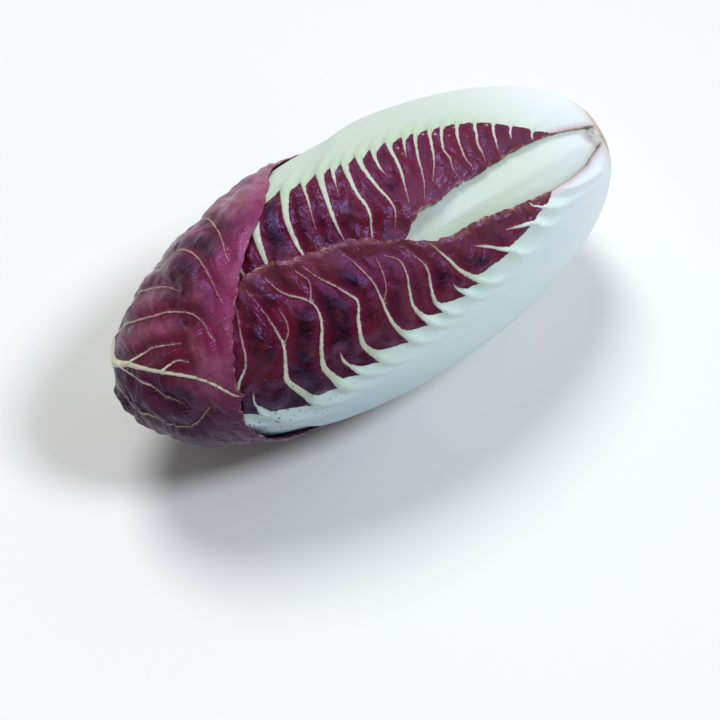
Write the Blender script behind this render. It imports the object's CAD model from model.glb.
import bpy
import numpy as np
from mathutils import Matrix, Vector


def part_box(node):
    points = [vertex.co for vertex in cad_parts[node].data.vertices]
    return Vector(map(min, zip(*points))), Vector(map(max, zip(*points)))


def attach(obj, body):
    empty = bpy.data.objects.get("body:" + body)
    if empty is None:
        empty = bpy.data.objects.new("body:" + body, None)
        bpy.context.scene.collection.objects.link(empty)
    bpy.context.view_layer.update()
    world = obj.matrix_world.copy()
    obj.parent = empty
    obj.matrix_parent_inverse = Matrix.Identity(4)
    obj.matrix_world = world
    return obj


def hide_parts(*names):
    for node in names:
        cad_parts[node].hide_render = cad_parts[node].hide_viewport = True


# A head of Treviso radicchio: long leaves with white ribs wrapped round a cut stem, the outermost as a hood.
# Leaf shapes are worked out in millimetres on a nest of eggs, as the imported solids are, and stored in
# metres.

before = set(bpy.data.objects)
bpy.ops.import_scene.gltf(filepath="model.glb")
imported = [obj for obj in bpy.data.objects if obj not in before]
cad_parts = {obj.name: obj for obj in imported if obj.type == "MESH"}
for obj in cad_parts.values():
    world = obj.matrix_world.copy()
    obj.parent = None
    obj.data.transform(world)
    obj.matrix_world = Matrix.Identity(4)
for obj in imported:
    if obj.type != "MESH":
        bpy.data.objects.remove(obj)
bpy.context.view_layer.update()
stemLow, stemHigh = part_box("stem")
hoodLow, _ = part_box("outer_leaf_hood")

headShape = {
    "halfLength": round(-hoodLow.x * 1000 + 0.2, 1),  # mm, the hood lies 0.2 inside the outermost egg
    "halfWidth": 46.5,  # mm
    "axisHeight": round(500 * (stemLow.z + stemHigh.z), 1),  # mm above the table
    "rootAlong": 18.2,  # degrees from the cut end where the leaves are cut
    "leafGap": 1.2,  # mm between one leaf and the next
    "blade": 0.8,  # mm thick
    "rim": 0.45,  # mm thick at the very margin
    "rimFade": 4.0,  # mm over which the blade thins to its rim
}


def smoothCurve(points):
    # Monotone cubic through (x, y) points: tangents are harmonic means of the slopes, ends are held.
    xs, ys = np.array(points, float).T
    steps = np.diff(xs)
    slopes = np.diff(ys) / steps
    tangents = np.concatenate([slopes[:1], np.zeros(len(xs) - 2), slopes[-1:]])
    before, after = slopes[:-1], slopes[1:]
    rising = before * after > 0
    tangents[1:-1][rising] = 2 * before[rising] * after[rising] / (before + after)[rising]

    def at(x):
        x = np.clip(np.asarray(x, float), xs[0], xs[-1])
        i = np.clip(np.searchsorted(xs, x, side="right") - 1, 0, len(steps) - 1)
        t = (x - xs[i]) / steps[i]
        s = 1 - t
        held = ys[i] * s * s * (1 + 2 * t) + ys[i + 1] * t * t * (3 - 2 * t)
        return held + steps[i] * (tangents[i] * s * s * t - tangents[i + 1] * t * t * s)

    return at


def wrapDegrees(degrees):
    return (np.asarray(degrees, float) + 180) % 360 - 180


def hump(x):
    return np.clip(1 - np.square(x), 0, None) ** 2


def smoothStep(low, high, x):
    t = np.clip((x - low) / (high - low), 0, 1)
    return t * t * (3 - 2 * t)


def scatter(a, b, seed):
    # A steady pseudo random number from 0 to 1 for each pair of whole numbers.
    value = np.sin(a * 127.1 + b * 311.7 + seed * 74.7) * 43758.5453
    return value - np.floor(value)


def softNoise(x, y, size, seed):
    # Random heights from -1 to 1 on a square lattice, blended smoothly between its corners.
    gx, gy = np.floor(x / size), np.floor(y / size)
    s, t = smoothStep(0, 1, x / size - gx), smoothStep(0, 1, y / size - gy)
    low = scatter(gx, gy, seed) * (1 - s) + scatter(gx + 1, gy, seed) * s
    high = scatter(gx, gy + 1, seed) * (1 - s) + scatter(gx + 1, gy + 1, seed) * s
    return 2 * (low * (1 - t) + high * t) - 1


def cellCrease(x, y, size, seed):
    # Distance to the second nearest less the nearest of points strewn one to a square: 0 on the creases.
    gx, gy = np.floor(x / size), np.floor(y / size)
    nearest = np.full(np.shape(x), 1e9)
    second = nearest.copy()
    for dx in (-1, 0, 1):
        for dy in (-1, 0, 1):
            px = (gx + dx + 0.15 + 0.7 * scatter(gx + dx, gy + dy, seed)) * size
            py = (gy + dy + 0.15 + 0.7 * scatter(gx + dx, gy + dy, seed + 5)) * size
            away = np.hypot(x - px, y - py)
            second = np.minimum(second, np.maximum(nearest, away))
            nearest = np.minimum(nearest, away)
    return second - nearest


def onEgg(along, around, lift):
    # x is the half length times the cosine of along; the ring's radius is the half width times its sine.
    a, r = np.radians(along), np.radians(around)
    ring = (headShape["halfWidth"] + lift) * np.sin(a)
    x = (headShape["halfLength"] + lift) * np.cos(a)
    return np.stack([x, -ring * np.cos(r), headShape["axisHeight"] + ring * np.sin(r)], -1)


def outwards(along, around):
    # The egg's outward unit normal at each place.
    a, r = np.radians(along), np.radians(around)
    side = np.sin(a) / headShape["halfWidth"]
    normal = np.stack([np.cos(a) / headShape["halfLength"], -side * np.cos(r), side * np.sin(r)], -1)
    return normal / np.linalg.norm(normal, axis=-1, keepdims=True)


def mmPerDegree(along):
    # How many millimetres one degree along and one degree around are, at each place.
    a = np.radians(along)
    lengthways = np.hypot(headShape["halfLength"] * np.sin(a), headShape["halfWidth"] * np.cos(a))
    return np.radians(lengthways), np.radians(headShape["halfWidth"] * np.sin(a))


# Ribs: how thick the flesh is and how many degrees it spans to each side, from the root to the tip.
ribShape = {
    "depth": smoothCurve([(18, 6.4), (45, 5.2), (80, 3.6), (115, 1.9), (150, 0.7), (180, 0.4)]),
    "span": smoothCurve([(18, 62), (50, 58), (80, 44), (110, 34), (140, 26), (180, 20)]),
    "bulgeWidth": 1.25,
}

# How high the next leaf may lie at each place, in mm of lift, on a grid of degrees along and around.
layers = {"alongStep": 1.0, "aroundStep": 1.5, "reach": 4, "clear": 4.0, "blend": 0.6}
layerAlong, layerAround = np.meshgrid(
    np.arange(0, 180 + layers["alongStep"], layers["alongStep"]),
    np.arange(0, 360, layers["aroundStep"]),
    indexing="ij",
)
ceiling = np.full(layerAlong.shape, layers["clear"])


def ceilingAt(along, around):
    # The ceiling between its grid's corners, blended in straight lines.
    row = np.clip(along / layers["alongStep"], 0, ceiling.shape[0] - 1.001)
    column = np.mod(around, 360) / layers["aroundStep"]
    i, j = np.floor(row).astype(int), np.floor(column).astype(int)
    s, t = row - i, column - j
    j, k = j % ceiling.shape[1], (j + 1) % ceiling.shape[1]
    low = ceiling[i, j] * (1 - t) + ceiling[i, k] * t
    high = ceiling[i + 1, j] * (1 - t) + ceiling[i + 1, k] * t
    return low * (1 - s) + high * s


def overNeighbours(field, combine):
    # Each place takes the lowest or the mean of the places within reach, first along and then around.
    reach = layers["reach"]
    for axis, mode in ((0, "edge"), (1, "wrap")):
        padding = [(0, 0), (0, 0)]
        padding[axis] = (reach, reach)
        padded = np.pad(field, padding, mode=mode)
        count = field.shape[axis]
        field = combine([np.take(padded, range(n, n + count), axis) for n in range(2 * reach + 1)], axis=0)
    return field


def lowerCeiling(leaf):
    # Under the leaf just laid the ceiling is its inside less the gap, with a soft slope beyond its margin.
    global ceiling
    inside = liftOf(leaf, layerAlong, layerAround) - flesh(leaf, layerAlong, layerAround)
    under = np.where(leaf["covers"](layerAlong, layerAround), inside - headShape["leafGap"], ceiling)
    soft = overNeighbours(overNeighbours(under, np.min), np.mean)
    ceiling = np.minimum(under, soft)


def tableLift(along, around):
    # How far outside the egg the table is, where the head faces it.
    down = -np.sin(np.radians(along)) * np.sin(np.radians(around))
    away = headShape["axisHeight"] / np.maximum(down, 0.5) - headShape["halfWidth"]
    return np.where(down > 0.5, away, layers["clear"])


def liftOf(leaf, along, around):
    # The leaf's own level with the rib's swell, eased down under the ceiling, and never under the table.
    side = wrapDegrees(around - leaf["rib"](along)) / ribShape["span"](along)
    wanted = leaf["level"] + leaf["bulge"] * hump(side / ribShape["bulgeWidth"])
    room = ceilingAt(along, around)
    ease = layers["blend"]
    share = np.clip(0.5 + 0.5 * (room - wanted) / ease, 0, 1)
    lift = room * (1 - share) + wanted * share - ease * share * (1 - share)
    return np.minimum(lift, tableLift(along, around))


def flesh(leaf, along, around):
    # Thickness: the blade's, and the rib's where it runs.
    side = wrapDegrees(around - leaf["rib"](along)) / ribShape["span"](along)
    return headShape["blade"] + ribShape["depth"](along) * leaf["ribScale"] * hump(side)


# Camera first: the photograph's angle, from above and to the left of the tip.
photoView = {
    "azimuth": -33.9,
    "elevation": 60.0,
    "distance": 0.8,
    "target": (-0.0104, -0.0095, 0.0),
    "focalLength": 110.1,
    "sensor": 36.0,
}


def makeCamera():
    azimuth, elevation = np.radians(photoView["azimuth"]), np.radians(photoView["elevation"])
    back = Vector((
        np.sin(azimuth) * np.cos(elevation), -np.cos(azimuth) * np.cos(elevation), np.sin(elevation),
    ))
    lens = bpy.data.cameras.new("photoCamera")
    lens.lens, lens.sensor_width = photoView["focalLength"], photoView["sensor"]
    camera = bpy.data.objects.new("photoCamera", lens)
    camera.location = Vector(photoView["target"]) + back * photoView["distance"]
    camera.rotation_euler = (-back).to_track_quat("-Z", "Y").to_euler()
    bpy.context.scene.collection.objects.link(camera)
    bpy.context.scene.camera = camera


makeCamera()
print("camera set")


# Veins: each is a line of (along, around) places with a half width in mm at every point.
veinShape = {
    "steps": 40,
    "inside": -14.0,  # degrees inside the rib where a side vein starts to lift off
    "guard": 0.5,  # mm by which the unsigned distance rules out false crossings
    "tip": 0.14,  # mm, half width at the margin
    "fade": 14.0,  # degrees around over which a vein narrows from its base
    "leadIn": [(21, 17), (11, 12.5), (4.8, 8), (1.7, 4)],  # degrees back and inside, before a traced vein
    "forkEvery": 19.0,  # degrees around between the forks of one vein
    "forkLength": 12.0,  # degrees around
    "forkSpread": 3.6,  # degrees along that a fork strays by its end
    "forkWidth": 0.1,  # mm, half width
}


def splinePlaces(points, steps):
    # A Catmull-Rom line through hand-picked places, worked out in 3-D so that it may pass the tip.
    places = np.array(points, float)
    knots = onEgg(places[:, 0], places[:, 1], 0.0)
    knots = np.concatenate([2 * knots[:1] - knots[1:2], knots, 2 * knots[-1:] - knots[-2:-1]])
    t = np.linspace(0, len(points) - 1, steps)
    i = np.minimum(t.astype(int), len(points) - 2)
    f = (t - i)[:, None]
    a, b, c, d = knots[i], knots[i + 1], knots[i + 2], knots[i + 3]
    curve = 0.5 * (2 * b + (c - a) * f + (2 * a - 5 * b + 4 * c - d) * f**2 + (3 * b - a - 3 * c + d) * f**3)
    return curve, t / (len(points) - 1)


def nearestVein(points, normals, veins):
    # For every point: signed and unsigned mm to the vein whose edge is nearest, its half width there, and
    # the lobe place: mm from the middle between the two nearest veins, positive beside the rootward one.
    offset, far, best, second = (np.full(len(points), 50.0) for _ in range(4))
    width, tipward = np.full(len(points), 0.2), np.zeros(len(points), bool)
    for line, halfWidths in veins:
        low, high = line.min(0) - 9, line.max(0) + 9
        near = np.flatnonzero(np.all((points > low) & (points < high), axis=1))
        start, step = line[:-1], np.diff(line, axis=0)
        lengths = np.maximum((step**2).sum(1), 1e-9)
        for part in np.array_split(near, max(1, len(near) // 8000)):
            gap = points[part, None] - start
            share = np.clip((gap * step).sum(-1) / lengths, 0, 1)
            gap = gap - share[..., None] * step
            distance = np.linalg.norm(gap, axis=-1)
            k = distance.argmin(1)
            rows = np.arange(len(part))
            distance, share, gap = distance[rows, k], share[rows, k], gap[rows, k]
            side = np.cross(step[k], normals[part])
            side /= np.maximum(np.linalg.norm(side, axis=1, keepdims=True), 1e-9)
            half = halfWidths[k] * (1 - share) + halfWidths[k + 1] * share
            value = distance - half
            better = value < best[part]
            chosen = part[better]
            second[part] = np.where(better, best[part], np.minimum(second[part], value))
            best[chosen] = value[better]
            tipward[chosen] = gap[better, 0] < 0
            far[chosen] = distance[better]
            width[chosen] = half[better]
            offset[chosen] = (gap * side).sum(1)[better]
    return offset, far, width, np.where(tipward, 1, -1) * np.clip((second - best) / 2, 0, 4)


def wingVeins(leaf, wing):
    # Side veins of one wing: along = start + gain * sweep(t), around = the white edge out by t degrees.
    # Long veins fork: each fork leaves its vein and strays from it by forkSpread, towards one end.
    # Neighbours run in opposite directions, so that the signed distance keeps its sign between them.
    sign = 1 if wing == "high" else -1
    lines = []
    for number, (start, gain, reach, base) in enumerate(leaf["veins"][wing]):
        edge = leaf["rib"](start) + sign * leaf["white"](start)
        room = sign * wrapDegrees(leaf[wing](start + 2) - edge)
        t = np.linspace(veinShape["inside"], max(room * reach, 6.0), veinShape["steps"])
        jitter = 0.35 * softNoise(t, 0 * t, 6.0, leaf["seed"] + number) * smoothStep(0, 8, t)
        along = start + gain * leaf["sweep"](t) + jitter
        whiteEdge = leaf["rib"](along) + sign * leaf["white"](start)
        half = veinShape["tip"] + base * np.exp(-np.maximum(t, 0) / veinShape["fade"] * 1.15)
        if reach < 0.95:
            half = half * smoothStep(0, 0.3, 1 - t / t[-1]) ** 0.6
        turn = 1 if number % 2 else -1
        lines.append((onEgg(along, whiteEdge + sign * t, 0.0)[::turn], half[::turn]))
        if "forks" not in leaf or reach < 0.8 or base < 0.6:
            continue
        for fork in range(int((t[-1] - 6) / veinShape["forkEvery"])):
            leave = 12 + veinShape["forkEvery"] * (fork + 0.7 * scatter(start, fork, 3))
            lean = -1 if (fork + number) % 2 else 1
            s = np.linspace(0, veinShape["forkLength"] * (0.6 + 0.6 * scatter(start, fork, 5)), 14)
            stray = lean * veinShape["forkSpread"] * (1 - np.exp(-s / 6.0))
            forkAlong = start + gain * leaf["sweep"](leave + s) + stray
            narrowing = veinShape["forkWidth"] * (1 - 0.6 * s / s[-1])
            forkAround = leaf["rib"](start) + sign * (leaf["white"](start) + leave + s)
            lines.append((onEgg(forkAlong, forkAround, 0.0)[::-turn], narrowing[::-turn]))
    for number, (base, places, *fade) in enumerate(leaf.get("traces", {}).get(wing, [])):
        lines.append(tracedVein(places, base, sign, number, *fade))
    return lines


def tracedVein(places, base, sign, number, fade=veinShape["fade"]):
    # A vein through hand-read places from the white edge outwards; wide ones are led back into the rib.
    if base > 0.4:
        along, around = places[0]
        places = [(along - back, around - sign * inside) for back, inside in veinShape["leadIn"]] + places
    arounds = np.array(places)[:, 1]
    first = 0 if base <= 0.4 else len(veinShape["leadIn"])
    line, share = splinePlaces(places, veinShape["steps"])
    t = np.interp(share * (len(places) - 1), np.arange(len(places)), np.abs(arounds - arounds[first]))
    t = np.where(share * (len(places) - 1) < first, 0, t)
    half = veinShape["tip"] + base * np.exp(-t / fade * 1.15)
    half = half * smoothStep(0, 0.2, 1.02 - share) ** 0.6
    turn = 1 if number % 2 else -1
    return line[::turn], half[::turn]


# Surfaces.
def gridLines(start, end, count, dense=None, gain=1.0):
    # Positions from start to end, closer together by the gain inside the dense stretch.
    fine = np.linspace(start, end, 2000)
    weight = np.ones_like(fine)
    if dense:
        soft = 0.04 * (end - start)
        inside = smoothStep(dense[0] - soft, dense[0], fine) * smoothStep(dense[1] + soft, dense[1], fine)
        weight += (gain - 1) * inside
    total = np.concatenate([[0], np.cumsum((weight[1:] + weight[:-1]) / 2)])
    return np.interp(np.linspace(0, total[-1], count + 1), total, fine)


hairShape = {"length": (0.3, 0.9), "radius": 0.025, "lean": 0.8, "sunk": 0.1}


def hairsOn(outer, normals, wanted, count, seed):
    # Thin three-sided cones on places picked at random: tip = root + length * (normal + lean * some way).
    chosen = np.random.default_rng(seed)
    roots = chosen.choice(np.flatnonzero(wanted), count)
    normal = normals[roots]
    across = np.cross(normal, [1.0, 0.2, 0.1])
    across /= np.linalg.norm(across, axis=1, keepdims=True)
    onward = np.cross(normal, across)
    way, length = chosen.uniform(0, 2 * np.pi, count), chosen.uniform(*hairShape["length"], count)
    lean = across * np.cos(way)[:, None] + onward * np.sin(way)[:, None]
    base = outer[roots] - hairShape["sunk"] * normal
    corners = []
    for turn in (0, 2 * np.pi / 3, 4 * np.pi / 3):
        corners.append(base + hairShape["radius"] * (across * np.cos(turn) + onward * np.sin(turn)))
    tip = base + length[:, None] * (normal + hairShape["lean"] * lean)
    points = np.stack([*corners, tip], 1).reshape(-1, 3)
    first = np.arange(count)[:, None, None] * 4
    faces = (first + np.array([[0, 1, 3], [1, 2, 3], [2, 0, 3], [2, 1, 0]])).reshape(-1, 3)
    return points, faces


def keptFaces(faces, count):
    # The points in use, and each face as a list of their new numbers without repeats.
    used = np.unique(faces)
    renumbered = np.zeros(count, int)
    renumbered[used] = np.arange(len(used))
    return used, [list(dict.fromkeys(face)) for face in renumbered[faces].tolist()]


def shellMesh(name, leaf, along, around, lifts, faces, border, fields, hairy):
    # Two copies of one sheet, at the outer and the inner lift, the inner one turned over, joined round the
    # border by a strip of quads. Hairs stand where hairy. The fields and a UV map in 0.1 m go along.
    outer, inner = (onEgg(along, around, lift) for lift in lifts)
    normals = outwards(along, around)
    hairPoints, hairFaces = hairsOn(outer, normals, hairy, leaf.get("hairs", 0), leaf["seed"])
    atRoot = along < headShape["rootAlong"] + 0.01
    count = len(outer)
    onward = np.roll(border, -1)
    strip = np.stack([border, border + count, onward + count, onward], -1)
    sheet, innerSheet = faces
    used, faceList = keptFaces(np.concatenate([sheet, innerSheet[:, ::-1] + count, strip]), 2 * count)
    points = np.concatenate([outer, inner])[used]
    mesh = bpy.data.meshes.new(name)
    allFaces = faceList + (hairFaces + len(points)).tolist()
    mesh.from_pydata((np.concatenate([points, hairPoints]) * 0.001).tolist(), [], allFaces)
    fields["lengthShare"] = (along - 18) / 162
    for label, values in fields.items():
        layer = mesh.attributes.new(label, "FLOAT", "POINT")
        values = np.concatenate([np.tile(values, 2)[used], np.zeros(len(hairPoints))])
        layer.data.foreach_set("value", values.astype(np.float32))
    lateral = np.radians(wrapDegrees(around - leaf["rib"](along))) * headShape["halfWidth"]
    uv = np.stack([lateral, along * np.radians(headShape["halfLength"])], -1) * 0.01
    places = np.concatenate([np.tile(uv, (2, 1))[used], np.zeros((len(hairPoints), 2))])
    corners = np.zeros(len(mesh.loops), np.int32)
    mesh.loops.foreach_get("vertex_index", corners)
    mesh.uv_layers.new(name="leafPlace").data.foreach_set("uv", places[corners].astype(np.float32).ravel())
    mesh.polygons.foreach_set("use_smooth", np.ones(len(allFaces), bool))
    slots = np.zeros(len(allFaces), np.int32)  # 0 leaf skin, 1 cut flesh at the root, 2 hairs
    slots[len(faceList) - len(border):len(faceList)] = atRoot[border] & atRoot[onward]
    slots[len(faceList):] = 2
    mesh.polygons.foreach_set("material_index", slots)
    mesh.update()
    mesh.set_sharp_from_angle(angle=np.radians(60))
    return mesh


def bladeRelief(leaf, along, around, veins, ribEdge, edge):
    # The blade swells between its veins and puckers into blisters; veins stand up as ridges; ribs stay
    # smooth. Each is its height times noise or a bell of the distance, and all fade out at the margin.
    normals = outwards(along, around)
    offset, far, width, lobe = nearestVein(onEgg(along, around, 0.0), normals, veins)
    lateral = np.radians(wrapDegrees(around - leaf["rib"](along)))
    acrossMm = lateral * headShape["halfWidth"] * np.sin(np.radians(along))
    alongMm = (180 - along) * np.radians(headShape["halfLength"])
    look = {"flow": 0.0, "grooves": 0.0, "keel": 0.0, **leaf["relief"]}
    seed = leaf["seed"]
    onBlade = smoothStep(-0.5, 4.0, ribEdge)
    swell = look["swell"] * (1 - np.exp(-((far / 3.5) ** 2))) * onBlade
    wobble = softNoise(alongMm, acrossMm, 11.0, seed) + 0.35 * softNoise(alongMm, acrossMm, 4.6, seed + 7)
    twist = 1.5 * softNoise(alongMm, acrossMm, 7.0, seed + 1)
    crease = cellCrease(alongMm + twist, acrossMm * 0.8 + twist, look["cell"], seed + 2)
    blister = look["blister"] * smoothStep(0, 0.55 * look["cell"], crease) * onBlade
    standing = smoothStep(-11.0, -2.0, ribEdge) * np.clip(width, 0.25, 1.3)
    ridge = look["ridge"] * standing * np.exp(-((far / (width + 0.4)) ** 2))
    intoRib = smoothStep(-14, -4, ribEdge) * smoothStep(3, 0, ribEdge)
    ridge += look["flow"] * intoRib * np.exp(-((far / 2.2) ** 2))
    fibres = 0.05 * softNoise(alongMm * 0.12, acrossMm, 1.3, seed + 3) * (1 - onBlade)
    grooves = look["grooves"] * softNoise(alongMm * 0.06, acrossMm, 3.6, seed + 9)
    keel = look["keel"] * np.exp(-((acrossMm / 2.5) ** 2))
    relief = swell + look["wobble"] * wobble * onBlade + blister + ridge + fibres + grooves + keel
    relief -= 0.4 * look["swell"] * onBlade
    fields = {"veinOffset": offset, "veinFar": far, "veinWidth": width, "lobe": lobe}
    fields.update(ribEdge=ribEdge, edge=edge)
    return relief * smoothStep(0, 2.5, edge), fields


def marginNoise(mm, octaves, seed):
    # Teeth and waves along a margin: the sum of height * noise of its size in mm, for each octave.
    return sum(height * softNoise(mm, 0 * mm, size, seed + i) for i, (height, size) in enumerate(octaves))


def thinned(thick, edge, atButt):
    # The thickness eases down to the rim's towards the margin, but not where the leaf is cut.
    thin = headShape["rim"] + (thick - headShape["rim"]) * smoothStep(0, headShape["rimFade"], edge)
    return np.where(atButt, thick, thin)


def ringQuads(rings, turned):
    # Quads between each ring of point numbers and the next, given the rings and the same turned by one.
    return np.stack([rings[:-1], rings[1:], turned[1:], turned[:-1]], -1).reshape(-1, 4)


def wrappedLeaf(name, leaf):
    # Rows run round the head between the low and the high margin; rows are closer where the leaf shows.
    rowAlong = gridLines(headShape["rootAlong"], leaf["tipAlong"], leaf["rows"], leaf.get("denseRows"), 2.0)
    share = gridLines(0.0, 1.0, leaf["columns"], leaf.get("denseColumns"), 2.0)
    along = np.repeat(rowAlong[:, None], len(share), 1)
    lengthMm = (rowAlong - rowAlong[0]) * np.radians(headShape["halfLength"])
    ease = smoothStep(rowAlong[0], rowAlong[0] + 15, rowAlong) * (0.2 + 0.8 * smoothStep(45, 72, rowAlong))
    perAlong, perAround = mmPerDegree(along)
    margins = {}
    for sign, wing in ((-1, "low"), (1, "high")):
        stray = marginNoise(lengthMm, ((0.5, 1.5), (0.4, 3.4), (0.9, 9.0)), leaf["seed"] + 10 * (sign + 2))
        margins[wing] = leaf[wing](rowAlong) + sign * ease * stray / perAround[:, 0]
    low, high = margins["low"][:, None], margins["high"][:, None]
    around = low + (high - low) * share
    edge = np.minimum(around - low, high - around) * perAround
    edge = np.minimum(edge, (leaf["tipAlong"] - along) * perAlong)
    ribEdge = (np.abs(wrapDegrees(around - leaf["rib"](along))) - leaf["white"](along)) * perAround
    along, around, edge, ribEdge = (values.ravel() for values in (along, around, edge, ribEdge))

    veins = wingVeins(leaf, "high") + wingVeins(leaf, "low")
    relief, fields = bladeRelief(leaf, along, around, veins, ribEdge, edge)
    fields["lobe"] *= smoothStep(60, 92, along)
    curl = leaf.get("curl", 0.0) * smoothStep(60, 85, along)
    curl -= leaf.get("tuck", 0.0) * smoothStep(85, 60, along)
    curl *= np.exp(-edge / 3.0) * smoothStep(20, 30, along)
    ruffle = softNoise(along * 1.7, 0 * along, 9.0, leaf["seed"] + 6)
    base = liftOf(leaf, along, around) + curl + leaf.get("ruffle", 0.0) * np.exp(-edge / 5.0) * ruffle
    thick = thinned(flesh(leaf, along, around), edge, along < headShape["rootAlong"] + 3)

    index = np.arange(len(along)).reshape(len(rowAlong), len(share))
    quads = np.stack([index[:-1, :-1], index[:-1, 1:], index[1:, 1:], index[1:, :-1]], -1).reshape(-1, 4)
    border = np.concatenate([index[0, :-1], index[:-1, -1], index[-1, :0:-1], index[:0:-1, 0]])
    hairy = (fields["veinFar"] < fields["veinWidth"] + 0.2) & (ribEdge > -3) & (along > 60) & (edge > 1)
    lifts = base + relief, base - thick
    return shellMesh(name, leaf, along, around, lifts, (quads, quads), border, fields, hairy)


def coversWrapped(leaf):
    # Places between the margins, widened a little so that the next leaf dips before it is covered.
    def covers(along, around):
        middle = (leaf["low"](along) + leaf["high"](along)) / 2
        spread = 5 / np.maximum(0.2, np.sin(np.radians(along)))
        reach = (leaf["high"](along) - leaf["low"](along)) / 2 + spread
        return (along < leaf["tipAlong"] + 5) & (np.abs(wrapDegrees(around - middle)) < reach)

    return covers


# The hood: the outermost leaf, whose top folds over the tip.
hoodLeaf = {
    "level": -0.2, "bulge": 0.0, "ribScale": 1.0, "seed": 11,
    "rib": lambda along: 230.0 + 0 * along,
    "margin": smoothCurve([
        (-45, 111), (-28, 126), (-12, 132), (5, 135.5), (18, 136.3), (26, 135.6), (30, 133.6),
        (34, 134.9), (47, 133.5), (66, 129), (78, 125), (90, 121), (102, 114.5), (114, 107.5),
        (126, 103.5), (140, 100), (152, 96), (163, 90), (173, 79), (181, 63), (187, 45), (192, 29),
        (196, 18.2), (264, 18.2), (270, 26), (279, 42), (288, 62), (297, 82), (306, 98), (315, 111),
    ]),
    "rings": 230, "innerEvery": 5, "sectors": 336, "hairs": 2000,
    "midrib": [
        (18, 230), (50, 230), (85, 228), (115, 221), (138, 205), (151, 182), (158, 164), (163.5, 137),
        (160.5, 102), (154, 74), (147, 59), (141, 47), (135.8, 32), (134, 30),
    ],
    "midribWidth": smoothCurve([
        (0, 26), (0.15, 24), (0.3, 16), (0.4, 8), (0.5, 2.6), (0.6, 0.95), (0.72, 0.62), (0.84, 0.42),
        (0.93, 0.28), (1, 0.08),
    ]),
    "veins": [
        [(157, 166), (152, 150), (149, 127), (144.5, 110), (140, 100), (136, 89), (134.5, 79), (134.6, 68)],
        [(150, 180), (144, 160), (140.5, 141), (138, 127), (136, 116), (135, 108)],
        [(145, 190), (135, 160), (130.5, 142), (127, 130), (126, 118), (126.5, 103), (127.8, 90), (128, 82)],
        [(132, 205), (122, 165), (118, 140), (118, 126), (119.5, 112), (121.5, 99)],
        [(161, 104), (154.5, 94), (150, 89.5), (145, 81), (143, 78)],
        [(150.5, 68), (148, 69), (145.5, 68.5), (144, 65)],
        [(163, 120), (163, 92), (159.5, 70), (157, 55), (153.5, 42), (151, 36)],
        [(163, 170), (170, 166), (174.5, 120), (172.5, 50), (169, 10), (165, -20), (160, -36), (154, -38),
         (149, -35)],
        [(168, 22), (163.5, 18), (159, 13), (153, 8), (148, 15), (144, 26)],
        [(151, 184), (164, 200), (172, 250), (167, -68), (158, -56), (149, -50)],
        [(138, 208), (150, 225), (160, 262), (158, -80), (148, -72), (138, -64)],
    ],
    "veinWidth": smoothCurve([(0, 0.42), (0.3, 0.27), (0.7, 0.18), (1, 0.08)]),
    "hiddenVeins": {
        "starts": range(62, 132, 7),
        "towardsTable": [(0, 0), (8, 16), (13, 32), (14, 48), (11, 62)],
        "awayFromTable": [(0, 0), (6, -16), (9, -32), (10, -48), (7, -64), (2, -80)],
    },
    "relief": {
        "swell": 1.0, "wobble": 0.8, "cell": 8.0, "blister": 0.35, "ridge": 0.75, "flow": 0.25,
        "grooves": 0.1,
    },
}


def hoodCovers(along, around):
    # Beyond the margin or its near surroundings, with 5 degrees to spare.
    reaches = [hoodLeaf["margin"]((around + shift + 45) % 360 - 45) for shift in (-5, 0, 5)]
    return along > np.min(reaches, axis=0) - 5


def hiddenHoodVeins(leaf):
    # Veins on the hood's back, which the photograph doesn't show: each start sends one to each side.
    rule = leaf["hiddenVeins"]
    lines = []
    for start in rule["starts"]:
        sideways = start + 3 * scatter(start, 1, 9)
        lines.append([(sideways + forward, 230 + turned) for forward, turned in rule["towardsTable"]])
        if start < 100:
            lines.append([(sideways + forward, 230 + turned) for forward, turned in rule["awayFromTable"]])
    return lines


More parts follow.
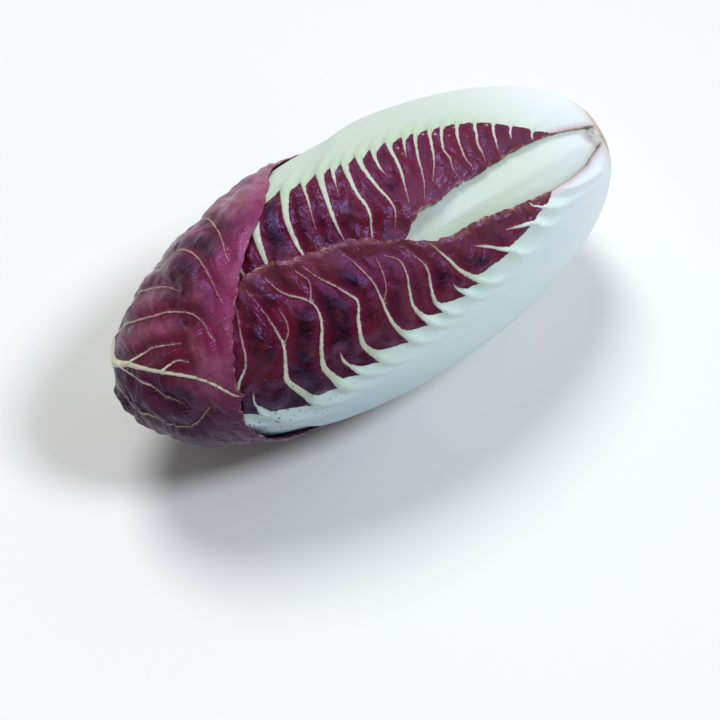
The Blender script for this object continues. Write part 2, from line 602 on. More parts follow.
def hoodShell(name, leaf):
    # Rings spread from the tip to the margin: along = 180 less the margin's distance times the ring's share.
    around = np.arange(leaf["sectors"]) * 360 / leaf["sectors"] - 45
    margin = leaf["margin"](around)
    stray = marginNoise(np.radians(around) * 33, ((0.55, 1.5), (0.45, 3.3), (0.9, 10.0)), 31)
    margin = margin + smoothStep(20, 45, margin) * stray / 1.5
    ring = gridLines(0.0, 1.0, leaf["rings"], (0.9, 1.0), 1.6)[1:]
    along = np.concatenate([[180.0], (180 - np.outer(ring, 180 - margin)).ravel()])
    around = np.concatenate([[0.0], np.tile(around, len(ring))])
    margin = np.concatenate([[100.0], np.tile(margin, len(ring))])
    degrees = np.arange(-45, 315.5, 0.5)
    tilt = np.interp(around, degrees, np.abs(np.gradient(leaf["margin"](degrees), 0.5)))
    perAlong, perAround = mmPerDegree(np.minimum(along, 179))
    edge = (along - margin) * perAlong / np.sqrt(1 + (tilt * perAlong / perAround) ** 2)

    midrib, share = splinePlaces(leaf["midrib"], 160)
    ribLine = [(midrib, leaf["midribWidth"](share))]
    points, normals = onEgg(along, around, 0.0), outwards(along, around)
    ribOffset, ribFar, ribWidth, _ = nearestVein(points, normals, ribLine)
    ribEdge = np.maximum(np.abs(ribOffset), ribFar - veinShape["guard"]) - ribWidth
    ribEdge = np.where(ribFar > 45, 30.0, ribEdge)
    broad = smoothStep(2.5, 10, ribWidth)
    ribEdge = ribEdge + 1.3 * broad * softNoise(along * 1.7, around * 0.6, 5.0, leaf["seed"] + 8)
    widths = leaf["veinWidth"](np.linspace(0, 1, 60))
    veins = [(splinePlaces(line, 60)[0], widths) for line in leaf["veins"]]
    veins += [(splinePlaces(line, 60)[0], 1.5 * widths) for line in hiddenHoodVeins(leaf)]
    relief, fields = bladeRelief(leaf, along, around, veins, ribEdge, edge)
    fields["lobe"] *= broad * smoothStep(60, 80, along)
    fields["veinWidth"] = fields["veinWidth"] + 1.1 * broad * np.exp(-np.maximum(ribEdge, 0) / 4.5)
    raised = np.clip(ribWidth, 0, 1.5) * np.exp(-((ribFar / (ribWidth + 0.5)) ** 2))
    relief += 0.9 * raised * smoothStep(20, 4, ribWidth)
    onTable = smoothStep(1.5, 0.2, tableLift(along, around) - leaf["level"])
    farSide = smoothStep(75, 110, around) * smoothStep(270, 200, around)
    lip = (0.6 - 1.3 * farSide) * np.exp(-edge / 3.0) * smoothStep(60, 100, margin)
    base = liftOf(leaf, along, around) + lip * (1 - onTable)
    thick = thinned(flesh(leaf, along, around), edge, margin < 22)

    sectors, rings = leaf["sectors"], leaf["rings"]
    index = 1 + np.arange(rings * sectors).reshape(rings, sectors)
    index = np.concatenate([np.zeros((1, sectors), int), index])
    right = np.roll(index, -1, 1)
    kept = np.concatenate([[0], np.arange(rings, 0, -leaf["innerEvery"])[::-1]])
    quads = ringQuads(index, right), ringQuads(index[kept], right[kept])
    hairy = (fields["veinFar"] < 0.6) | ((ribFar < ribWidth + 0.3) & (ribWidth < 4))
    hairy &= (edge > 1) & (tableLift(along, around) > 1.5)
    lifts = base + relief * (1 - onTable), base - thick
    return shellMesh(name, leaf, along, around, lifts, quads, index[-1], fields, hairy)


hoodLeaf["covers"] = hoodCovers

# The wrapped leaves, outermost first. A rule's vein is (start along, gain, share of the wing reached, base
# half width), and a traced one is (base half width, places, fade).
lowerLeaf = {
    "level": -1.7, "bulge": 1.5, "ribScale": 1.0, "tipAlong": 164.0, "seed": 101,
    "rib": smoothCurve([(18, -18), (130, -18), (165, -8)]),
    "low": smoothCurve([
        (18, -66), (32, -72), (50, -88), (75, -98), (105, -102), (125, -98), (145, -75), (158, -48),
        (164, -24),
    ]),
    "high": smoothCurve([
        (18, 47), (28, 45.6), (37, 44.3), (51, 46.3), (57, 47.7), (64, 50), (72, 53.7), (79, 55),
        (84, 55.7), (89.5, 61.2), (94.5, 68), (100.3, 75.3), (105.4, 77.2), (109.4, 79.6), (115, 84.9),
        (119.6, 86.6), (126, 86), (140, 72), (153, 42), (164, 8),
    ]),
    "white": smoothCurve([
        (18, 65), (40, 63.5), (49, 66), (55, 62), (64, 56), (70, 53), (80, 48), (90, 45), (98, 41),
        (105, 37.5), (113, 33.5), (120, 28), (128, 27), (134, 30), (145, 22), (164, 10),
    ]),
    "sweep": smoothCurve([
        (-14, -24), (-9, -11.5), (-5, -4.7), (0, 0), (4, 2.1), (9, 3.6), (15, 4.4), (21, 4.1), (30, 2.6),
        (38, 2.3), (46, 4.2), (56, 6.4), (80, 8),
    ]),
    "veins": {
        "high": [
            (52, 0.8, 0.3, 0.25), (58, 0.8, 0.2, 0.25), (145, 0.5, 1.0, 0.8),
        ],
        "low": [
            (46, 0.8, 0.6, 0.3), (54, 0.9, 0.9, 0.4), (62, 1.0, 0.95, 0.6), (70, 1.1, 1.0, 0.8),
            (78, 1.0, 1.0, 0.9), (86, 1.1, 1.0, 1.0), (91, 0.7, 0.4, 0.5), (95, 1.1, 1.0, 1.2),
            (104, 1.2, 1.0, 1.3), (113, 1.2, 1.0, 1.3), (122, 1.3, 1.0, 1.1), (132, 1.2, 1.0, 0.9),
            (143, 1.0, 1.0, 0.7),
        ],
    },
    "traces": {"high": [
        (0.45, [(62.5, 38.5), (65.5, 41), (68.9, 43.3)], 20),
        (0.5, [(70, 33), (74.3, 40.9), (77.8, 45.7)], 20),
        (0.85, [(79.7, 31.2), (82.5, 39.4), (84.6, 49.9), (86, 56)]),
        (0.42, [(83, 28), (84.3, 32), (85, 35.7)]),
        (0.7, [(88.4, 26.5), (89.7, 33.9), (88.7, 48), (90.5, 58)]),
        (0.9, [(92.2, 25.5), (93.8, 32.8), (94, 39), (92.7, 54.9), (94.9, 61)]),
        (0.0, [(99.6, 43), (98, 48), (97.1, 54), (96.8, 62)]),
        (1.1, [
            (96.8, 22.6), (98.4, 28.2), (99.4, 34.7), (99.6, 43), (99.6, 53.4), (100.8, 63.3),
            (101.5, 67.9),
        ]),
        (1.25, [
            (103.9, 20.8), (105.6, 25.8), (106.4, 31.7), (105.5, 41.8), (104, 49.3), (105.2, 55),
            (106.7, 60.6), (108.7, 67.2), (110, 74),
        ], 18),
        (0.5, [(109.6, 20.3), (111.2, 26), (111.3, 31.8)]),
        (0.0, [(112.4, 59.3), (111.5, 63.3), (110.7, 68.1), (111.8, 74.3)]),
        (1.45, [
            (113.1, 15.5), (114.5, 22), (115.5, 28.5), (114.6, 37.6), (112.3, 49.5), (112.4, 59.3),
            (116, 67.8), (117.3, 73.3), (118, 80),
        ], 20),
        (0.0, [(121.7, 46.7), (119.5, 52), (118.8, 58), (118.9, 63)]),
        (1.5, [
            (120.4, 14), (122.6, 21.8), (123.9, 28.8), (122.8, 38.6), (121.7, 46.7), (121.8, 58.7),
            (122.8, 80),
        ], 20),
        (0.5, [(131.3, 11), (132.7, 17.8), (132.7, 23.9), (132.2, 27.8)]),
        (1.1, [
            (140, 10), (138, 22), (134.4, 37.4), (131.8, 44), (130.3, 50.5), (129.3, 60.8), (127.5, 71.5),
            (126.5, 80),
        ], 20),
    ]},
    "forks": True,
    "relief": {
        "swell": 1.2, "wobble": 0.75, "cell": 7.5, "blister": 0.4, "ridge": 0.6, "flow": 1.0,
        "grooves": 0.14,
    },
    "rows": 300, "columns": 156, "denseRows": (40, 132), "denseColumns": (0.7, 1.0),
    "curl": 0.6, "tuck": 0.8, "ruffle": 0.5, "hairs": 900,
}
upperLeaf = {
    "level": -1.7, "bulge": 1.5, "ribScale": 1.0, "tipAlong": 163.0, "seed": 202,
    "rib": smoothCurve([(18, 150), (130, 150), (165, 140)]),
    "low": smoothCurve([
        (18, 72), (33, 74.5), (45, 76.2), (55, 75.8), (63, 74.7), (71, 72), (78, 71.4), (83, 70.5),
        (88, 65), (96, 56), (108, 49), (124, 48), (138, 60), (152, 92), (163, 124),
    ]),
    "high": smoothCurve([
        (18, 200), (40, 208), (60, 220), (85, 234), (110, 240), (130, 228), (150, 195), (163, 158),
    ]),
    "white": smoothCurve([
        (18, 80), (31, 77), (38, 75), (46, 70.5), (56, 58), (63, 50), (70, 46), (80, 43), (90, 41.5),
        (96, 39), (100, 37), (104, 34.5), (109, 33), (118, 29), (130, 25), (145, 18), (163, 9),
    ]),
    "sweep": smoothCurve([
        (-14, -15), (-9, -7), (-5, -3.2), (0, 0), (7, 1.8), (14, 3.0), (21, 3.8), (30, 4.5), (42, 5.4),
        (60, 6.5), (90, 8),
    ]),
    "veins": {
        "low": [
            (49, 1.1, 0.3, 0.25), (54, 1.0, 0.5, 0.3), (57.8, 1.0, 0.85, 0.35), (61.5, 1.0, 0.9, 0.4),
            (65.4, 1.0, 0.9, 0.45), (68.6, 1.1, 0.9, 0.45), (116, 1.2, 1.0, 1.8), (125, 1.2, 1.0, 1.4),
            (136, 1.1, 1.0, 1.0),
        ],
        "high": [
            (60, 1.0, 0.8, 0.5), (68, 1.0, 0.9, 0.7), (76, 1.0, 1.0, 0.8), (84, 1.1, 1.0, 1.0),
            (93, 1.1, 1.0, 1.2), (102, 1.2, 1.0, 1.4), (112, 1.2, 1.0, 1.4), (124, 1.2, 1.0, 1.2),
            (138, 1.0, 1.0, 0.9),
        ],
    },
    "traces": {"low": [
        (0.5, [(71.6, 104), (75, 89), (78, 80)]),
        (0.55, [(74.4, 106.5), (77.4, 93.7), (79.7, 82), (82, 74)]),
        (0.42, [(77.2, 106), (79.5, 96)]),
        (0.7, [(80.5, 108), (82.6, 90), (85.7, 73.6)], 20),
        (0.6, [(84, 108), (85.5, 98.5), (85.5, 91)]),
        (0.85, [(87.4, 108), (88.6, 94.5), (88.2, 78), (90, 70)], 21),
        (0.9, [(90.5, 108.6), (92.5, 93), (92.8, 82), (94.7, 72.4), (95.9, 67)], 23),
        (0.45, [(93.2, 108.6), (95.6, 96)]),
        (1.15, [(95.4, 112), (97.9, 98), (99.7, 85), (100.3, 74)], 26),
        (0.42, [(99.3, 112.5), (101.4, 100), (103.6, 88)]),
        (1.5, [(102.7, 115.6), (104.6, 108.8), (107.2, 97.8), (108.7, 85), (108.6, 76)], 30),
        (1.45, [(109, 119), (110.7, 113.5), (112.5, 107), (114, 101.7), (115.5, 92.8), (116.8, 83)], 70),
    ]},
    "forks": True,
    "relief": {
        "swell": 1.1, "wobble": 0.7, "cell": 7.0, "blister": 0.35, "ridge": 0.6, "flow": 0.25,
        "grooves": 0.1,
    },
    "rows": 300, "columns": 156, "denseRows": (30, 128), "denseColumns": (0.0, 0.45),
    "curl": 0.2, "tuck": 0.9, "ruffle": 0.4, "hairs": 700,
}


def evenVeins(first, step, width):
    veins = [(start, 1.0, 1.0, width) for start in range(first, 140, step)]
    return {"low": veins, "high": veins}


frontLeaf = {
    "level": -5.2, "bulge": 0.8, "ribScale": 0.85, "tipAlong": 158.0, "seed": 303,
    "rib": smoothCurve([(18, 60), (160, 62)]),
    "low": smoothCurve([(18, 16), (45, 4), (80, -16), (120, -22), (142, 2), (158, 44)]),
    "high": smoothCurve([(18, 104), (45, 116), (80, 138), (120, 142), (142, 118), (158, 80)]),
    "white": smoothCurve([(18, 60), (50, 44), (80, 32), (110, 24), (158, 10)]),
    "sweep": upperLeaf["sweep"],
    "veins": evenVeins(50, 11, 0.7),
    "relief": {
        "swell": 0.7, "wobble": 0.3, "cell": 7.0, "blister": 0.3, "ridge": 0.5, "grooves": 0.07, "keel": 0.3,
    },
    "rows": 200, "columns": 100,
}
innerLeafSet = {"count": 6, "firstAround": 284, "turn": 137.5, "rows": 130, "columns": 64}


def innerLeaf(i):
    # Each inner leaf sits deeper, one turn further round the stem, and is a little wider and shorter.
    centre = innerLeafSet["firstAround"] - innerLeafSet["turn"] * i
    spread, tipAlong = 88 + 5 * i, 158 - i
    halfSpan = smoothCurve([
        (18, 50 + 4 * i), (60, spread * 0.86), (100, spread), (130, spread * 0.92), (148, spread * 0.55),
        (tipAlong, 12),
    ])
    return {
        "level": -9.5 - 3.3 * i, "bulge": 0.5, "ribScale": 0.62 - 0.05 * i, "tipAlong": float(tipAlong),
        "seed": 400 + 20 * i, "rib": lambda along: centre + 0 * along,
        "low": lambda along: centre - halfSpan(along), "high": lambda along: centre + halfSpan(along),
        "white": frontLeaf["white"], "sweep": frontLeaf["sweep"],
        "veins": evenVeins(48, 13, 0.6),
        "relief": {"swell": 0.5, "wobble": 0.2, "cell": 7.0, "blister": 0.2, "ridge": 0.4},
        "rows": innerLeafSet["rows"], "columns": innerLeafSet["columns"],
    }


# Materials. The helpers add to the node tree that was made last.
tree = None


def fillSockets(node, inputs):
    # Inputs by name or number: a socket is linked, a value is set, and a colour gets its alpha.
    for label, value in inputs.items():
        socket = node.inputs[label]
        if isinstance(value, bpy.types.NodeSocket):
            tree.links.new(value, socket)
        elif isinstance(value, tuple) and len(socket.default_value) > len(value):
            socket.default_value = (*value, 1.0)
        else:
            socket.default_value = value
    return node


def makeNode(kind, inputs=None, **settings):
    node = tree.nodes.new(kind)
    for label, value in settings.items():
        setattr(node, label, value)
    return fillSockets(node, inputs or {})


def maths(operation, first, second=0.0, third=0.0):
    return makeNode("ShaderNodeMath", {0: first, 1: second, 2: third}, operation=operation).outputs[0]


def times(first, second):
    return maths("MULTIPLY", first, second)


def ramp(value, low, high, start=0.0, end=1.0):
    inputs = {"Value": value, "From Min": low, "From Max": high, "To Min": start, "To Max": end}
    return makeNode("ShaderNodeMapRange", inputs, interpolation_type="SMOOTHSTEP").outputs["Result"]


def blendColours(share, first, second):
    return makeNode("ShaderNodeMix", {0: share, 6: first, 7: second}, data_type="RGBA").outputs[2]


def coated(colour, *coats):
    # Each coat is a share and a colour, laid over what is there.
    for share, coat in coats:
        colour = blendColours(share, colour, coat)
    return colour


def field(name):
    return makeNode("ShaderNodeAttribute", attribute_name=name).outputs["Fac"]


def noise(vector, scale, detail=3.0, roughness=0.55):
    inputs = {"Vector": vector, "Scale": scale, "Detail": detail, "Roughness": roughness}
    return makeNode("ShaderNodeTexNoise", inputs).outputs["Fac"]


def stretched(vector, x, y):
    return makeNode("ShaderNodeMapping", {"Vector": vector, "Scale": (x, y, 1.0)}).outputs[0]


def bumpOf(height, strength, depth):
    inputs = {"Height": height, "Strength": strength, "Distance": depth}
    return makeNode("ShaderNodeBump", inputs).outputs[0]


def blankMaterial(name):
    global tree
    material = bpy.data.materials.new(name)
    material.use_nodes = True
    tree = material.node_tree
    tree.nodes.clear()
    skin = makeNode("ShaderNodeBsdfPrincipled")
    makeNode("ShaderNodeOutputMaterial", {0: skin.outputs[0]})
    return material, skin


def plainMaterial(name, inputs):
    material, skin = blankMaterial(name)
    fillSockets(skin, inputs)
    return material


leafFinish = {
    "wineDark": (0.013, 0.0008, 0.0016),
    "wine": (0.122, 0.0125, 0.015),
    "magenta": (0.15, 0.006, 0.029),
    "net": (0.19, 0.035, 0.055),
    "marginTan": (0.24, 0.085, 0.05),
    "marginCream": (0.56, 0.39, 0.24),
    "rib": (0.7, 0.84, 0.82),
    "ribGreen": (0.6, 0.77, 0.62),
    "vein": (0.56, 0.62, 0.44),
    "veinThin": (0.31, 0.16, 0.125),
    "speckle": (0.2, 0.018, 0.08),
    "root": (0.74, 0.56, 0.48),
    "blush": (0.64, 0.44, 0.56),
    "rimTan": (0.5, 0.37, 0.23),
    "dusty": (0.15, 0.034, 0.048),
    "ribPale": (0.86, 0.89, 0.91),
    "patchScale": 62.0,
    "fibre": 0.5,
    "glossyRoughness": 0.09,
    "dullRoughness": 0.42,
    "gloss": 0.42,
    "ribRoughness": 0.38,
    "sheen": 0.0,
    "streaks": 0.0,
    "marginWidth": 1.2,
    "rounding": 4.0,
    "scallop": 2.2,
    "flecks": 0.0,
    "deepen": None,  # z in m where the darkening towards the table starts and is full, and its share
    "ribShade": 0.0,
    "bloom": 0.0,
    "dotShare": 0.8,
    "netShare": 0.24,
    "guard": 0.5,  # mm by which the unsigned distance to a vein rules out false crossings
    "silver": 0.0,
    "bloomPink": (0.38, 0.125, 0.19),
    "silverGrey": (0.4, 0.29, 0.37),
    "shadeBlue": (0.3, 0.44, 0.56),
    "tint": (0.42, 0.35, 1.0),
    "sheenTint": (0.72, 0.62, 0.86),
}


def leafMaterial(name, changes=None):
    # White where the veins and the rib are, by their distance fields; wine red elsewhere.
    look = {**leafFinish, **(changes or {})}
    material, skin = blankMaterial(name)
    coordinates = makeNode("ShaderNodeTexCoord")
    here, sheet = coordinates.outputs["Object"], coordinates.outputs["UV"]
    level = makeNode("ShaderNodeSeparateXYZ", {"Vector": here}).outputs[2]
    ribEdge, edge, lengthShare = field("ribEdge"), field("edge"), field("lengthShare")
    veinWidth, lobe = field("veinWidth"), field("lobe")
    beyondGuard = maths("SUBTRACT", field("veinFar"), look["guard"])
    nearLine = maths("MAXIMUM", maths("ABSOLUTE", field("veinOffset")), beyondGuard)
    veinEdge = maths("SUBTRACT", nearLine, veinWidth)
    raggedMm = maths("MULTIPLY_ADD", noise(here, 900.0, 2.0), 0.8, -0.4)
    scallops = maths("MULTIPLY_ADD", noise(here, 240.0, 3.0), look["scallop"], look["scallop"] * -0.5)
    ribLine = maths("MULTIPLY_ADD", lobe, 0.55, maths("ADD", ribEdge, scallops))
    rounding = ramp(lobe, -0.3, 0.3, look["rounding"], look["rounding"] * 0.3)
    white = maths("ADD", maths("SMOOTH_MIN", ribLine, veinEdge, rounding), raggedMm)
    whiteness = ramp(white, 0.2, -0.1)

    patches = noise(here, look["patchScale"], 4.0, 0.6)
    wine = coated(
        blendColours(ramp(patches, 0.38, 0.64), look["wineDark"], look["wine"]),
        (ramp(white, 4.5, 0.0, 0.0, 0.8), look["magenta"]),
        (ramp(edge, 15.0, 2.0, 0.0, 0.6), look["dusty"]),
    )
    if look["bloom"]:
        between = times(ramp(veinEdge, 1.5, 6.5), ramp(patches, 0.36, 0.6, 0.0, look["bloom"]))
        wine = blendColours(between, wine, look["bloomPink"])
    crease = makeNode("ShaderNodeTexVoronoi", {"Vector": sheet, "Scale": 27.0}, feature="DISTANCE_TO_EDGE")
    creaseWidth = crease.outputs["Distance"]
    netPatch = ramp(noise(here, 130.0, 2.0), 0.42, 0.62, 0.0, look["netShare"])
    grain = ramp(noise(here, 1500.0, 2.0), 0.56, 0.76, 0.0, 0.3)
    netted = times(ramp(creaseWidth, 0.045, 0.0), netPatch)
    wine = coated(wine, (netted, look["net"]), (grain, look["net"]))
    dots = makeNode("ShaderNodeTexVoronoi", {"Vector": here, "Scale": 560.0, "Randomness": 1.0})
    dotAway = dots.outputs["Distance"]
    pick = makeNode("ShaderNodeSeparateColor", {"Color": dots.outputs["Color"]}).outputs[0]
    if look["flecks"]:
        flecked = times(ramp(dotAway, 0.42, 0.2), maths("GREATER_THAN", pick, 0.74))
        nearRib = times(ramp(ribEdge, 9.0, 2.0), ramp(patches, 0.45, 0.6, 0.0, look["flecks"]))
        wine = blendColours(times(flecked, nearRib), wine, look["marginCream"])
    if look["deepen"]:
        high, low, share = look["deepen"]
        wine = blendColours(ramp(level, high, low, 0.0, share), wine, look["wineDark"])
    if look["silver"]:
        grazing = makeNode("ShaderNodeLayerWeight", {"Blend": 0.5}).outputs["Facing"]
        combed = ramp(noise(stretched(sheet, 190.0, 6.0), 1.0, 4.0, 0.65), 0.48, 0.58)
        combed = times(combed, ramp(grazing, 0.35, 0.85, 0.0, look["silver"]))
        wine = blendColours(combed, wine, look["silverGrey"])
    brownNoise = noise(here, 420.0, 3.0, 0.6)
    brown = times(ramp(edge, look["marginWidth"], 0.1), ramp(brownNoise, 0.42, 0.6, 0.1, 1.0))
    cream = times(ramp(edge, 0.7, 0.2), ramp(brownNoise, 0.54, 0.68, 0.0, 0.8))
    wine = coated(wine, (brown, look["marginTan"]), (cream, look["marginCream"]))

    fibres = noise(stretched(sheet, 60.0, 3.0), 1.0)
    nearLobes = times(ramp(ribEdge, -9.0, 1.0), ramp(ribEdge, 9.0, 2.0, 0.4, 1.0))
    green = maths("MULTIPLY_ADD", nearLobes, 0.65, times(fibres, 0.32))
    thinness = times(ramp(veinWidth, 0.42, 0.12), ramp(ribEdge, 1.0, 6.0))
    flesh = coated(
        blendColours(green, look["rib"], look["ribGreen"]),
        (ramp(ribEdge, 0.0, 5.0), look["vein"]),
        (times(thinness, 0.85), look["veinThin"]),
        (ramp(lengthShare, 0.36, 0.08, 0.0, 0.7), look["ribPale"]),
    )
    if look["ribShade"]:
        tipward = ramp(lengthShare, 0.35, 0.62, 0.0, look["ribShade"])
        flesh = blendColours(times(ramp(level, 0.062, 0.034), tipward), flesh, look["shadeBlue"])
    dotted = times(ramp(dotAway, 0.34, 0.16), maths("GREATER_THAN", pick, 0.52))
    dotted = times(dotted, ramp(lengthShare, 0.52, 0.7, 0.0, look["dotShare"]))
    flesh = coated(
        flesh,
        (dotted, look["speckle"]),
        (ramp(edge, 2.8, 0.6, 0.0, 0.6), look["blush"]),
        (ramp(edge, 0.65, 0.35, 0.0, 0.85), look["rimTan"]),
    )
    atButt = ramp(lengthShare, 0.06, 0.0, 0.0, 0.6)

    glossPatch = ramp(noise(here, 80.0, 2.0), 0.44, 0.56, look["dullRoughness"], look["glossyRoughness"])
    gloss = maths("MULTIPLY_ADD", noise(here, 260.0), 0.16, glossPatch)
    rough = makeNode("ShaderNodeMix", {0: whiteness, 2: gloss, 3: look["ribRoughness"]}).outputs[0]
    height = maths("MULTIPLY_ADD", ramp(creaseWidth, 0.0, 0.1), 0.1, noise(here, 360.0, 5.0, 0.6))
    if look["streaks"]:
        wrinkled = noise(stretched(sheet, 75.0, 6.0), 1.0, 3.0)
        height = maths("MULTIPLY_ADD", wrinkled, look["streaks"], height)
    standing = times(ramp(veinEdge, 0.5, -0.3), ramp(ribEdge, -3.0, 2.0, 0.0, 0.8))
    height = maths("ADD", standing, times(height, maths("SUBTRACT", 1.0, whiteness)))
    height = maths("MULTIPLY_ADD", fibres, times(whiteness, look["fibre"]), height)
    fillSockets(skin, {
        "Base Color": coated(wine, (whiteness, flesh), (atButt, look["root"])),
        "Roughness": rough, "Normal": bumpOf(height, 0.9, 0.00055),
        "Specular IOR Level": look["gloss"], "Specular Tint": look["tint"],
        "Sheen Weight": look["sheen"], "Sheen Roughness": 0.4, "Sheen Tint": look["sheenTint"],
        "Subsurface Weight": 0.08, "Subsurface Scale": 0.002,
    })
    return material


cutFinish = {
    "pith": (0.86, 0.87, 0.79),
    "flesh": (0.86, 0.88, 0.8),
    "bundle": (0.46, 0.4, 0.24),
    "brown": (0.62, 0.48, 0.36),
    "bundleRing": 0.0092,  # m from the axis
    "rim": (0.0118, 0.014),  # m from the axis, where the cut dries brown
    "roughness": 0.55,
}


def cutMaterial(name):
    # Cut flesh: a pale pith, a ring of vascular bundles, and brown drying towards the rim and in patches.
    material, skin = blankMaterial(name)
    here = makeNode("ShaderNodeTexCoord").outputs["Object"]
    centre = (0.0, 0.0, headShape["axisHeight"] / 1000)
    away = makeNode("ShaderNodeVectorMath", {0: here, 1: centre}, operation="SUBTRACT").outputs[0]
    away = makeNode("ShaderNodeVectorMath", {0: away, 1: (0.0, 1.0, 1.0)}, operation="MULTIPLY").outputs[0]
    radius = makeNode("ShaderNodeVectorMath", {0: away}, operation="LENGTH").outputs["Value"]
    wavy = maths("MULTIPLY_ADD", noise(here, 160.0), 0.003, radius)
    offRing = maths("ABSOLUTE", maths("SUBTRACT", wavy, cutFinish["bundleRing"] + 0.0015))
    bundles = makeNode("ShaderNodeTexVoronoi", {"Vector": here, "Scale": 520.0})
    dots = ramp(bundles.outputs["Distance"], 0.42, 0.18)
    dry = ramp(noise(here, 240.0, 5.0, 0.65), 0.5, 0.72, 0.0, 0.5)
    rim = ramp(wavy, cutFinish["rim"][0], cutFinish["rim"][1] + 0.0012, 0.0, 0.85)
    atEnd = ramp(makeNode("ShaderNodeSeparateXYZ", {"Vector": here}).outputs[0], 0.0925, 0.094)
    colour = coated(
        blendColours(ramp(wavy, 0.006, 0.011), cutFinish["pith"], cutFinish["flesh"]),
        (times(dots, ramp(offRing, 0.0022, 0.0004, 0.05, 0.9)), cutFinish["bundle"]),
        (times(maths("MAXIMUM", dry, rim), atEnd), cutFinish["brown"]),
    )
    height = maths("MULTIPLY_ADD", dots, 0.5, noise(here, 900.0, 4.0))
    fillSockets(skin, {
        "Base Color": colour, "Roughness": cutFinish["roughness"], "Normal": bumpOf(height, 0.7, 0.0004),
        "Subsurface Weight": 0.1, "Subsurface Scale": 0.002,
    })
    return material


lowerSkin = leafMaterial("lowerLeaf", {
    "marginWidth": 3.4, "deepen": (0.074, 0.05, 0.95), "ribShade": 0.6, "gloss": 0.44,
})
upperSkin = leafMaterial("upperLeaf", {
    "rib": (0.6, 0.69, 0.575), "ribGreen": (0.52, 0.64, 0.42), "flecks": 0.8, "marginWidth": 1.6,
    "gloss": 0.42,
})
hoodSkin = leafMaterial("hoodLeaf", {
    "wineDark": (0.034, 0.0026, 0.006), "wine": (0.19, 0.0175, 0.036), "magenta": (0.11, 0.007, 0.019),
    "rib": (0.7, 0.73, 0.58), "ribGreen": (0.74, 0.65, 0.44), "vein": (0.58, 0.47, 0.34),
    "veinThin": (0.42, 0.2, 0.17), "deepen": (0.074, 0.05, 0.9), "silver": 0.35, "patchScale": 42.0,
    "bloom": 0.5, "guard": 1.0, "dotShare": 0.2,
    "dusty": (0.33, 0.034, 0.12), "sheen": 0.1, "streaks": 0.9, "netShare": 0.4,
    "rounding": 1.2, "scallop": 0.3,
    "marginTan": (0.24, 0.03, 0.055), "marginCream": (0.56, 0.24, 0.26), "marginWidth": 0.6,
})
paleSkin = leafMaterial("paleLeaf", {
    "rib": (0.62, 0.73, 0.56), "ribGreen": (0.58, 0.68, 0.42), "wine": (0.16, 0.02, 0.05), "fibre": 0.2,
})
innerSkin = leafMaterial("innerLeaf", {
    "rib": (0.82, 0.84, 0.66), "wine": (0.24, 0.04, 0.09), "wineDark": (0.12, 0.015, 0.04),
})
cutSkin = cutMaterial("cutFlesh")


hairSkin = plainMaterial("leafHair", {"Base Color": (0.8, 0.78, 0.7), "Roughness": 0.5})


def addPiece(mesh, materials, node):
    piece = bpy.data.objects.new(mesh.name, mesh)
    bpy.context.scene.collection.objects.link(piece)
    for material in materials:
        mesh.materials.append(material)
    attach(piece, "root")
    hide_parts(node)
    return piece


hoodMesh = hoodShell("hoodLeafPiece", hoodLeaf)
addPiece(hoodMesh, [hoodSkin, cutSkin, hairSkin], "outer_leaf_hood")
lowerCeiling(hoodLeaf)
print("hood leaf made")

layerOrder = [
    ("lowerLeafPiece", lowerLeaf, lowerSkin, "outer_leaf_lower", "outer_leaf"),
    ("upperLeafPiece", upperLeaf, upperSkin, "outer_leaf_upper", "outer_leaf"),
    ("frontLeafPiece", frontLeaf, paleSkin, "front_leaf", "pale_leaf"),
]
for i in range(innerLeafSet["count"]):
    name, node = f"innerLeafPiece{i + 1}", f"inner_leaf_{i + 1}"
    layerOrder.append((name, innerLeaf(i), innerSkin, node, "inner_leaf"))
for name, leaf, skin, node, slot in layerOrder:
    leaf["covers"] = coversWrapped(leaf)
    addPiece(wrappedLeaf(name, leaf), [skin, cutSkin, hairSkin], node)
    lowerCeiling(leaf)
    print(name, "made")


# Stem and heart.
stemShape = {"depth": 37.0, "gap": 0.45, "bevel": 0.8, "sectors": 120, "dish": 0.5}
budShape = {"length": 78.0, "radius": 6.3, "rings": 90, "sectors": 72, "gap": 0.4, "folds": 3, "twist": 2.5}


def spunMesh(name, profile, sectors, ripple=None):
    # A profile of (x, radius) points carried round the axis; the radius may ripple with the angle.
    xs, radii = np.array(profile, float).T
    angle = np.arange(sectors) * 2 * np.pi / sectors
    grown = radii[:, None] * (1 + (ripple(xs[:, None], angle) if ripple else 0 * angle))
    ys, zs = -grown * np.cos(angle), headShape["axisHeight"] + grown * np.sin(angle)
    points = np.stack([np.repeat(xs[:, None], sectors, 1), ys, zs], -1).reshape(-1, 3)
    index = np.arange(len(xs) * sectors).reshape(len(xs), sectors)
    index[radii < 1e-6] = index[radii < 1e-6][:, :1]
    used, faces = keptFaces(ringQuads(index, np.roll(index, -1, 1)), len(points))
    mesh = bpy.data.meshes.new(name)
    mesh.from_pydata((points[used] * 0.001).tolist(), [], [face for face in faces if len(face) > 2])
    mesh.polygons.foreach_set("use_smooth", np.ones(len(mesh.polygons), bool))
    mesh.update()
    mesh.set_sharp_from_angle(angle=np.radians(40))
    return mesh


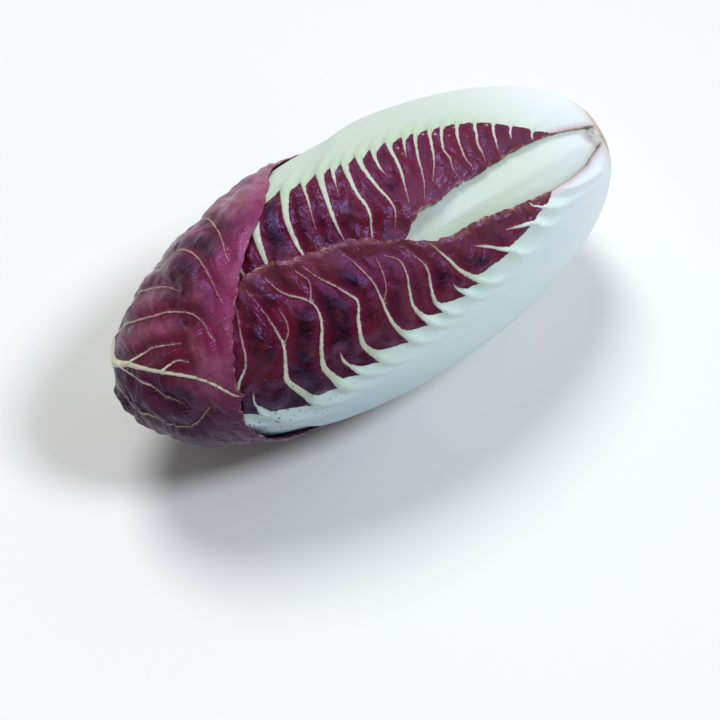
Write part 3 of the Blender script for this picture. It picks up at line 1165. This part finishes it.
def stemMesh():
    # A cone inside the leaf roots, whose cut end is a little dished and ringed by growth.
    slant = np.radians(headShape["rootAlong"])

    def edge(lift):
        radius = (headShape["halfWidth"] + lift) * np.sin(slant) - stemShape["gap"] / np.cos(slant)
        return (headShape["halfLength"] + lift) * np.cos(slant), radius

    endX, endRadius = edge(0)
    cut = [(endX - 0.1 - stemShape["dish"] * (1 - share**2), (endRadius - stemShape["bevel"]) * share)
           for share in np.linspace(0, 1, 30)]
    side = [edge(lift) for lift in np.linspace(-stemShape["bevel"], -stemShape["depth"], 24)]
    base = [(side[-1][0], side[-1][1] * share) for share in np.linspace(0.9, 0, 10)]
    return spunMesh("stemPiece", cut + side + base, stemShape["sectors"])


def budMesh():
    # A spindle whose radius steps in spiral folds, as tightly rolled leaves do.
    slant = np.radians(headShape["rootAlong"])
    start = (headShape["halfLength"] - stemShape["depth"]) * np.cos(slant) - budShape["gap"]
    share = np.linspace(0, 1, budShape["rings"])
    radius = budShape["radius"] * np.sin(np.pi * (1 - share) ** 0.8 * 0.92) ** 0.8
    radius[0], radius[-1] = 0, 0
    profile = list(zip(start - budShape["length"] * share, radius))

    def folds(x, angle):
        turn = budShape["folds"] * angle / (2 * np.pi) + budShape["twist"] * (start - x) / budShape["length"]
        return -0.1 * (turn - np.floor(turn))

    return spunMesh("heartPiece", profile, budShape["sectors"], folds)


def heartMaterial(name):
    # Cream young leaves with a blush of wine along their folds.
    material, skin = blankMaterial(name)
    here = makeNode("ShaderNodeTexCoord").outputs["Object"]
    blush = ramp(noise(here, 120.0, 4.0), 0.45, 0.75)
    fillSockets(skin, {
        "Base Color": blendColours(blush, (0.8, 0.76, 0.52), (0.45, 0.16, 0.2)), "Roughness": 0.4,
        "Normal": bumpOf(noise(here, 500.0, 4.0), 0.5, 0.0004),
    })
    return material


addPiece(stemMesh(), [cutSkin], "stem")
addPiece(budMesh(), [heartMaterial("heartLeaf")], "heart_bud")
print("stem and heart made")


# Floor, backdrop and light.
studio = {
    "floorSize": 40.0,
    "floorColour": (0.85, 0.84, 0.8),
    "skyColour": (0.95, 0.97, 1.0),
    "skyStrength": 0.22,
    "skySeen": (0.915, 0.947, 0.965),
    "windows": [
        ("rightWindow", (0.52, -0.36, 0.85), 16.0, 1.85, (0.8, 0.87, 1.0)),
        ("backWindow", (0.16, 0.6, 0.955), 24.0, 1.95, (0.93, 0.96, 1.0)),
    ],
}


def makeStudio():
    # A pale floor, an even sky that the camera sees paler, and the windows' light as soft suns.
    global tree
    half = studio["floorSize"] / 2
    corners = [(-half, -half, 0), (half, -half, 0), (half, half, 0), (-half, half, 0)]
    mesh = bpy.data.meshes.new("floor")
    mesh.from_pydata(corners, [], [(0, 1, 2, 3)])
    floor = bpy.data.objects.new("floor", mesh)
    bpy.context.scene.collection.objects.link(floor)
    mesh.materials.append(plainMaterial("paleFloor", {
        "Base Color": studio["floorColour"], "Roughness": 0.7, "Specular IOR Level": 0.2,
    }))
    world = bpy.data.worlds.new("softSky")
    bpy.context.scene.world = world
    world.use_nodes = True
    tree = world.node_tree
    tree.nodes.clear()
    glow = makeNode("ShaderNodeBackground", {0: studio["skyColour"], 1: studio["skyStrength"]})
    seen = makeNode("ShaderNodeBackground", {0: studio["skySeen"], 1: 1.0})
    direct = makeNode("ShaderNodeLightPath").outputs["Is Camera Ray"]
    mixed = makeNode("ShaderNodeMixShader", {0: direct, 1: glow.outputs[0], 2: seen.outputs[0]})
    makeNode("ShaderNodeOutputWorld", {0: mixed.outputs[0]})
    for name, way, angle, power, colour in studio["windows"]:
        light = bpy.data.lights.new(name, "SUN")
        light.angle, light.energy, light.color = np.radians(angle), power, colour
        lamp = bpy.data.objects.new(name, light)
        lamp.rotation_euler = (-Vector(way)).to_track_quat("-Z", "Y").to_euler()
        bpy.context.scene.collection.objects.link(lamp)
    bpy.context.scene.view_settings.view_transform = "Standard"


makeStudio()
print("studio made")

print("size written")
